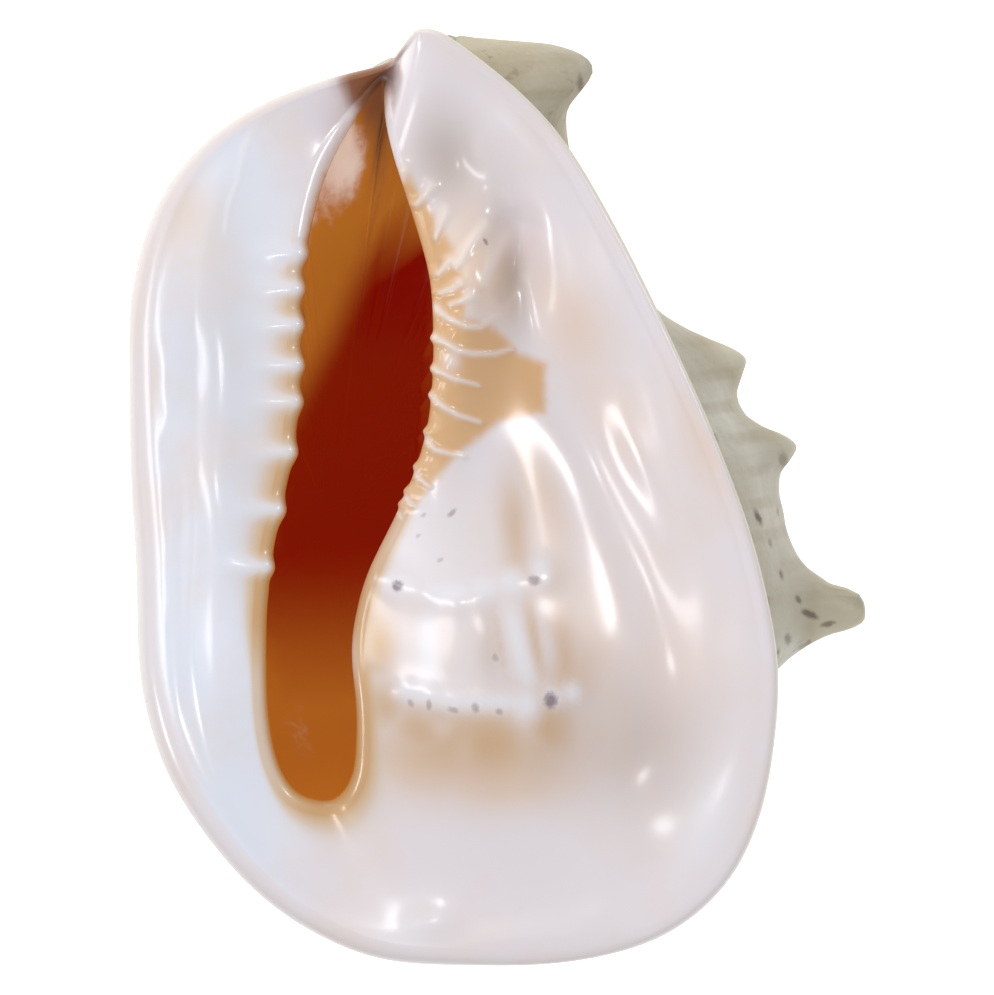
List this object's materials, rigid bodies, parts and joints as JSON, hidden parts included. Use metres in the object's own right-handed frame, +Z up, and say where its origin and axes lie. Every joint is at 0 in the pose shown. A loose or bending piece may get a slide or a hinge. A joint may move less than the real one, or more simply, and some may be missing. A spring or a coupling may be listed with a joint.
{
  "type": "horned helmet shell",
  "caption": "Large horned helmet sea shell lying on its back, with a toothed thick lip, a broad glazed shield and a long open mouth.",
  "frame": {"origin": "centre of the shell's outline on the surface that it lies on", "axes": "+Z up, +Y towards the canal end of the shell, +X towards the horned side, with the mouth facing up and 24 degrees towards the front"},
  "size_m": [0.1932, 0.2398, 0.1722],
  "materials": {
    "shell": "glossy porcelain-like face in white, pink and orange, with a dull cream back that has brown flecks"
  },
  "bodies": {
    "root": {"shell": "shell"}
  },
  "joints": []
}
